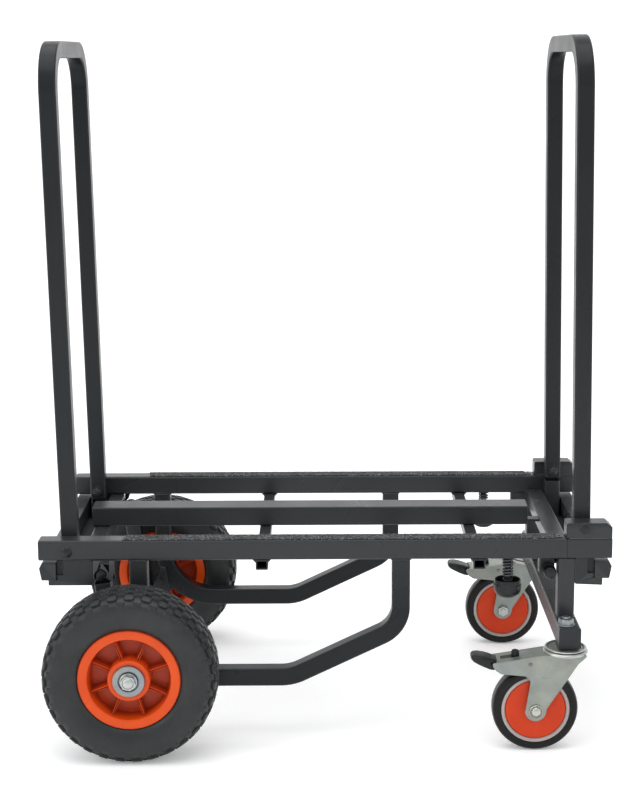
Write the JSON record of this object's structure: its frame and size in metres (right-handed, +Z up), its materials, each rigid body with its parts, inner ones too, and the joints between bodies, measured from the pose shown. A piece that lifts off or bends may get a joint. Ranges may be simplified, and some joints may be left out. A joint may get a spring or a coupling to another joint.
{
  "type": "convertible hand truck",
  "caption": "Convertible hand truck with a telescoping tube frame, folding U-shaped handles, large rear wheels and braked swivel casters.",
  "frame": {"origin": "floor level at the middle of the footprint", "axes": "+X along the frame towards the swivel casters, +Y across the frame, +Z up"},
  "size_m": [0.838, 0.605, 1.0351],
  "materials": {
    "black_paint": "satin black powder coat",
    "grip": "rough grit grip tape",
    "zinc": "bright zinc plate",
    "zinc_dark": "dark zinc plate",
    "tyre": "matt black rubber",
    "orange": "moulded orange plastic",
    "grey_core": "moulded warm grey plastic",
    "black_plastic": "moulded black plastic"
  },
  "bodies": {
    "rear_frame": {"rail_outer_near": "black_paint", "rail_outer_far": "black_paint", "mid_bar": "black_paint", "cross_tube_rear": "black_paint", "cross_tube_front": "black_paint", "hoop_near": "black_paint", "hoop_far": "black_paint", "front_cross_bar": "black_paint", "bracket_rear_near": "black_paint", "bracket_rear_far": "black_paint", "grip_strip_near": "grip", "grip_strip_far": "grip", "pivot_bolt_rear_near": "zinc_dark", "pivot_bolt_rear_far": "zinc_dark", "rear_axle": "zinc", "end_tube_rear": "black_paint", "hub_washer_near": "zinc", "hub_washer_far": "zinc", "axle_nut_near": "zinc", "axle_nut_far": "zinc"},
    "front_frame": {"rail_inner_near": "black_paint", "rail_inner_far": "black_paint", "upper_block_near": "black_paint", "upper_block_far": "black_paint", "front_bracket_near": "black_paint", "front_bracket_far": "black_paint", "caster_beam": "black_paint", "end_tube_front": "black_paint", "caster_stem_near": "zinc", "caster_stem_far": "zinc", "pivot_bolt_front_near": "zinc_dark", "pivot_bolt_front_far": "zinc_dark"},
    "rear_handle": {"handle_rear": "black_paint"},
    "front_handle": {"handle_front": "black_paint"},
    "rear_wheel_near": {"tyre_rear_near": "tyre", "rim_rear_near": "orange"},
    "caster_swivel_near": {"caster_fork_near": "zinc", "caster_bolt_near": "zinc"},
    "caster_wheel_near": {"caster_tyre_near": "tyre", "caster_core_near": "grey_core", "caster_disc_near": "orange"},
    "brake_near": {"brake_lever_near": "zinc", "brake_pad_near": "black_plastic"},
    "plunger_near": {"plunger_near": "black_plastic", "plunger_spring_near": "zinc_dark"},
    "lock_rear_near": {"lock_knob_rear_near": "black_plastic"},
    "lock_front_near": {"lock_knob_front_near": "black_plastic"},
    "rear_wheel_far": {"tyre_rear_far": "tyre", "rim_rear_far": "orange"},
    "caster_swivel_far": {"caster_fork_far": "zinc", "caster_bolt_far": "zinc"},
    "caster_wheel_far": {"caster_tyre_far": "tyre", "caster_core_far": "grey_core", "caster_disc_far": "orange"},
    "brake_far": {"brake_lever_far": "zinc", "brake_pad_far": "black_plastic"},
    "plunger_far": {"plunger_far": "black_plastic", "plunger_spring_far": "zinc_dark"},
    "lock_rear_far": {"lock_knob_rear_far": "black_plastic"},
    "lock_front_far": {"lock_knob_front_far": "black_plastic"}
  },
  "joints": [
    {"name": "frame_extension", "type": "slide", "parent": "rear_frame", "child": "front_frame", "axis": [1, 0, 0], "range_m": [0, 0.33]},
    {"name": "rear_handle_fold", "type": "hinge", "parent": "rear_frame", "child": "rear_handle", "pos_m": [-0.378, 0, 0.293], "axis": [0, 1, 0], "range_deg": [0, 90.6]},
    {"name": "front_handle_fold", "type": "hinge", "parent": "front_frame", "child": "front_handle", "pos_m": [0.379, 0, 0.326], "axis": [0, 1, 0], "range_deg": [-89, 90.8]},
    {"name": "rear_wheel_spin_near", "type": "hinge", "parent": "rear_frame", "child": "rear_wheel_near", "pos_m": [-0.282, -0.255, 0.127], "axis": [0, 1, 0], "continuous": true},
    {"name": "caster_swivel_near", "type": "hinge", "parent": "front_frame", "child": "caster_swivel_near", "pos_m": [0.35, -0.228, 0.1528], "axis": [0, 0, 1], "continuous": true},
    {"name": "caster_spin_near", "type": "hinge", "parent": "caster_swivel_near", "child": "caster_wheel_near", "pos_m": [0.306, -0.228, 0.063], "axis": [0, 1, 0], "continuous": true},
    {"name": "brake_press_near", "type": "hinge", "parent": "caster_swivel_near", "child": "brake_near", "pos_m": [0.308, -0.228, 0.1428], "axis": [0, -1, 0], "range_deg": [0, 12]},
    {"name": "plunger_pull_near", "type": "slide", "parent": "rear_frame", "child": "plunger_near", "axis": [0, 0, -1], "range_m": [0, 0.008], "stiffness_N_per_m": 500, "springref_m": -0.006, "deforming": ["plunger_spring_near"]},
    {"name": "lock_rear_pull_near", "type": "slide", "parent": "rear_frame", "child": "lock_rear_near", "axis": [0, -1, 0], "range_m": [0, 0.008], "stiffness_N_per_m": 200, "springref_m": -0.004},
    {"name": "lock_front_pull_near", "type": "slide", "parent": "rear_frame", "child": "lock_front_near", "axis": [0, -1, 0], "range_m": [0, 0.008], "stiffness_N_per_m": 200, "springref_m": -0.004},
    {"name": "rear_wheel_spin_far", "type": "hinge", "parent": "rear_frame", "child": "rear_wheel_far", "pos_m": [-0.282, 0.255, 0.127], "axis": [0, 1, 0], "continuous": true},
    {"name": "caster_swivel_far", "type": "hinge", "parent": "front_frame", "child": "caster_swivel_far", "pos_m": [0.35, 0.228, 0.1528], "axis": [0, 0, 1], "continuous": true},
    {"name": "caster_spin_far", "type": "hinge", "parent": "caster_swivel_far", "child": "caster_wheel_far", "pos_m": [0.306, 0.228, 0.063], "axis": [0, 1, 0], "continuous": true},
    {"name": "brake_press_far", "type": "hinge", "parent": "caster_swivel_far", "child": "brake_far", "pos_m": [0.308, 0.228, 0.1428], "axis": [0, -1, 0], "range_deg": [0, 12]},
    {"name": "plunger_pull_far", "type": "slide", "parent": "rear_frame", "child": "plunger_far", "axis": [0, 0, -1], "range_m": [0, 0.008], "stiffness_N_per_m": 500, "springref_m": -0.006, "deforming": ["plunger_spring_far"]},
    {"name": "lock_rear_pull_far", "type": "slide", "parent": "rear_frame", "child": "lock_rear_far", "axis": [0, 1, 0], "range_m": [0, 0.008], "stiffness_N_per_m": 200, "springref_m": -0.004},
    {"name": "lock_front_pull_far", "type": "slide", "parent": "rear_frame", "child": "lock_front_far", "axis": [0, 1, 0], "range_m": [0, 0.008], "stiffness_N_per_m": 200, "springref_m": -0.004}
  ]
}
